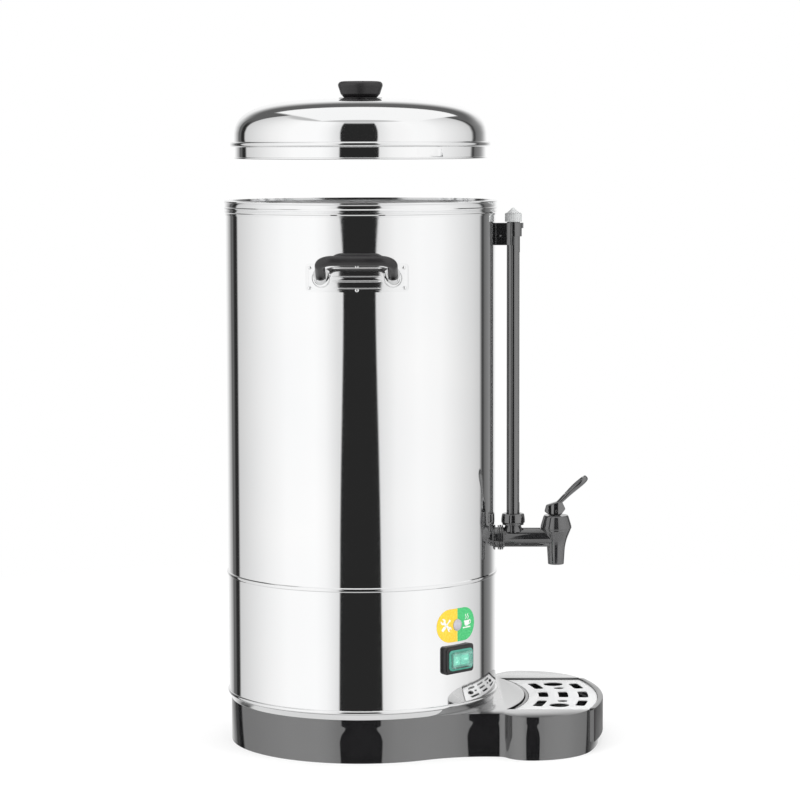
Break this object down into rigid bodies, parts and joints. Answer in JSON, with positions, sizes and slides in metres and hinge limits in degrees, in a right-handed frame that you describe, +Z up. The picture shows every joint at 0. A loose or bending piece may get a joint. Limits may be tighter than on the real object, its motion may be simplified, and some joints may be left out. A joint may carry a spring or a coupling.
{
  "type": "hot water urn",
  "caption": "Tall stainless steel hot water urn with a lever tap, sight gauge, lift-off lid, carrying handles and a black base with a pull-out drip tray.",
  "frame": {"origin": "on the urn's axis, on the surface it stands on", "axes": "+Z up; +X towards the tap and the drip tray; the carrying handles are at -Y and +Y"},
  "size_m": [0.3521, 0.3162, 0.6122],
  "materials": {
    "black_base": "satin",
    "black_gloss": "gloss",
    "black_satin": "satin",
    "rubber": "matte",
    "cover_steel": "satin",
    "shell_steel": "polished",
    "tank_steel": "brushed",
    "bright_steel": "polished",
    "stem_steel": "machined",
    "glass": "clear",
    "clear_cap": "clear",
    "silicone": "satin",
    "green_clear": "translucent",
    "label_yellow": "printed film",
    "label_green": "printed film",
    "lens": "translucent",
    "heater_alloy": "cast",
    "element": "satin",
    "ceramic": "matte",
    "grille_steel": "polished"
  },
  "bodies": {
    "urn": {"base_moulding": "black_base", "nose_moulding": "black_base", "tray_cradle": "black_base", "bottom_cover": "cover_steel", "cable_gland": "black_satin", "foot_ring": "bright_steel", "lower_housing": "shell_steel", "seam_bead": "bright_steel", "outer_shell": "shell_steel", "inner_tank": "tank_steel", "tank_floor": "tank_steel", "rim_ring": "bright_steel", "mouth_lug_1": "stem_steel", "mouth_lug_2": "stem_steel", "handle_plate_front": "bright_steel", "handle_plate_back": "bright_steel", "handle_socket_1": "bright_steel", "handle_socket_2": "bright_steel", "handle_socket_3": "bright_steel", "handle_socket_4": "bright_steel", "handle_grip_front": "black_satin", "handle_grip_back": "black_satin", "sight_bracket": "black_gloss", "sight_guard": "black_gloss", "sight_glass": "glass", "sight_nut": "black_gloss", "sight_seal": "silicone", "tap_body": "black_gloss", "tap_collar": "black_gloss", "tap_spacer": "silicone", "tap_back_nut": "stem_steel", "tap_bonnet": "black_gloss", "switch_bezel": "black_gloss", "switch_cover": "green_clear", "label_service": "label_yellow", "label_ready": "label_green", "indicator_lens": "lens", "heater_plate": "heater_alloy", "heating_element": "element", "thermostat": "ceramic", "dry_boil_cutout": "ceramic", "terminal_block": "ceramic", "pad_1": "rubber", "pad_2": "rubber", "pad_3": "rubber", "pad_4": "rubber", "pad_5": "rubber", "pad_6": "rubber"},
    "tap_lift": {"tap_stem": "stem_steel", "tap_seat": "silicone"},
    "tap_handle": {"tap_lever": "black_gloss", "lever_pin": "stem_steel"},
    "rocker": {"switch_rocker": "green_clear"},
    "gauge_cap": {"sight_cap": "clear_cap"},
    "tray": {"drip_tray": "black_base"},
    "tray_grille": {"grille": "grille_steel"},
    "lid_carrier": {"lid_screw": "stem_steel"},
    "lid": {"lid_shell": "bright_steel", "lid_knob": "black_satin", "lid_plate": "black_satin"}
  },
  "joints": [
    {"name": "lid_lift", "type": "slide", "parent": "urn", "child": "lid_carrier", "axis": [0, 0, 1], "range_m": [-0.0506, 0.12]},
    {"name": "lid_turn", "type": "hinge", "parent": "lid_carrier", "child": "lid", "pos_m": [0, 0, 0.5538], "axis": [0, 0, 1], "range_deg": [0, 8.4]},
    {"name": "tap_lift", "type": "slide", "parent": "urn", "child": "tap_lift", "axis": [0, 0, 1], "range_m": [0, 0.00225]},
    {"name": "tap_lever", "type": "hinge", "parent": "tap_lift", "child": "tap_handle", "pos_m": [0.1815, 0, 0.2127], "axis": [0, 1, 0], "range_deg": [0, 40]},
    {"name": "switch_rock", "type": "hinge", "parent": "urn", "child": "rocker", "pos_m": [0.08787, -0.091, 0.0893], "axis": [0, 0, 1], "range_deg": [0, 10]},
    {"name": "gauge_cap_lift", "type": "slide", "parent": "urn", "child": "gauge_cap", "axis": [0, 0, 1], "range_m": [0, 0.02]},
    {"name": "tray_pull", "type": "slide", "parent": "urn", "child": "tray", "axis": [1, 0, 0], "range_m": [0, 0.1]},
    {"name": "grille_lift", "type": "slide", "parent": "tray", "child": "tray_grille", "axis": [0, 0, 1], "range_m": [0, 0.08]}
  ],
  "couplings": [
    {"joint": "tap_lift", "follows": "tap_lever", "m_per_rad": 0.00315}
  ]
}
